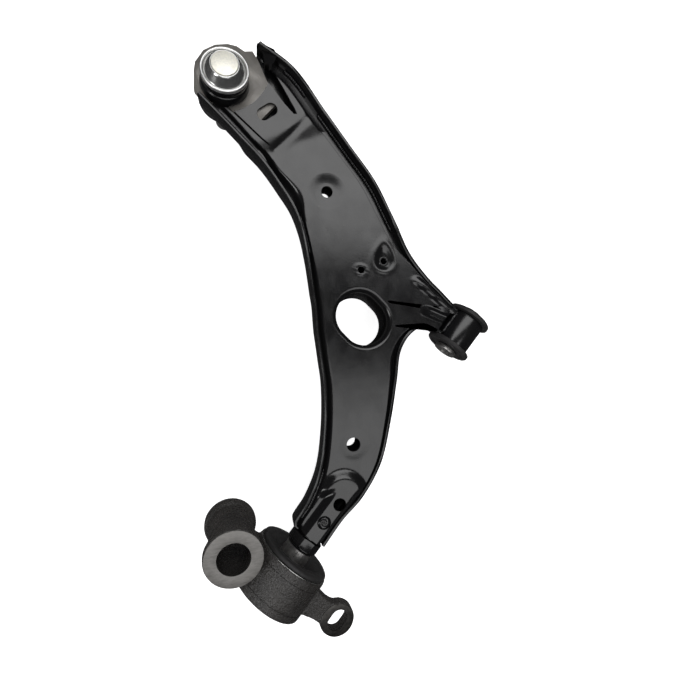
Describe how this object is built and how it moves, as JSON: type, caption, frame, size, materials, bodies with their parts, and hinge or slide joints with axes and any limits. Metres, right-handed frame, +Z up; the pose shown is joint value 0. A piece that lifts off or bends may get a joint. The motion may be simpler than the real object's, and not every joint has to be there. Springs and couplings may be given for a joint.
{
  "type": "control arm",
  "caption": "Curved lower suspension arm of nested black pressings, with a ball joint on a clamped plate, a welded eye with a rubber bushing, and a cast bracket on a bushed rear shank.",
  "frame": {"origin": "on the surface that the part lies on, below the centre of its bounding box", "axes": "+Z up, along the normal of the flat upper panel; +Y along the arm's long side, towards the ball joint; +X towards the front bushing"},
  "size_m": [0.28, 0.5488, 0.1033],
  "materials": {
    "black_paint": "satin black electrocoat paint",
    "cast_black": "rough cast surface, painted black",
    "plate_satin": "satin grey-brown steel",
    "zinc": "bright pale zinc plate",
    "steel": "turned steel",
    "black_rubber": "matt black rubber",
    "acetal": "pale bearing plastic",
    "weld_steel": "weld metal under black paint"
  },
  "bodies": {
    "arm": {"lower_stamping": "black_paint", "upper_panel": "black_paint", "shank_plug_weld": "plate_satin", "left_seam_weld": "weld_steel", "right_seam_weld": "weld_steel", "eye_weld": "weld_steel", "ball_joint_plate": "plate_satin", "ball_joint_housing": "black_paint", "retaining_ring": "zinc", "closing_cap": "zinc", "preload_disc": "steel", "boot_collar": "black_rubber", "boot_clamp_ring": "steel", "front_eye_tube": "black_paint", "front_outer_sleeve": "steel", "front_bush_rubber": "black_rubber", "rear_shank": "black_paint", "rear_inner_sleeve": "steel"},
    "tilt_carrier": {"bearing_shell": "acetal"},
    "boot_neck": {"dust_boot": "black_rubber", "boot_neck_ring": "steel"},
    "stud": {"ball_stud": "steel"},
    "front_core": {"front_inner_sleeve": "steel"},
    "bracket": {"rear_bracket": "cast_black", "rear_outer_sleeve": "steel", "rear_bush_rubber": "black_rubber"}
  },
  "joints": [
    {"name": "ball_swivel", "type": "hinge", "parent": "arm", "child": "tilt_carrier", "pos_m": [-0.11351, 0.23889, 0.06245], "axis": [0.0609, 0.1055, 0.9925], "continuous": true},
    {"name": "ball_tilt", "type": "hinge", "parent": "tilt_carrier", "child": "boot_neck", "pos_m": [-0.11351, 0.23889, 0.06245], "axis": [0.9981, -0.0064, -0.0606], "range_deg": [-20, 20]},
    {"name": "stud_spin", "type": "hinge", "parent": "boot_neck", "child": "stud", "pos_m": [-0.11351, 0.23889, 0.06245], "axis": [0.0609, 0.1055, 0.9925], "continuous": true},
    {"name": "front_bush_twist", "type": "hinge", "parent": "arm", "child": "front_core", "pos_m": [0.11122, 0.01722, 0.05945], "axis": [0.6192, 0.7852, 0], "range_deg": [-15, 15], "stiffness_Nm_per_rad": 20},
    {"name": "rear_bush_twist", "type": "hinge", "parent": "arm", "child": "bracket", "pos_m": [-0.06469, -0.20587, 0.05945], "axis": [0.6192, 0.7852, 0], "range_deg": [-15, 15], "stiffness_Nm_per_rad": 60}
  ]
}
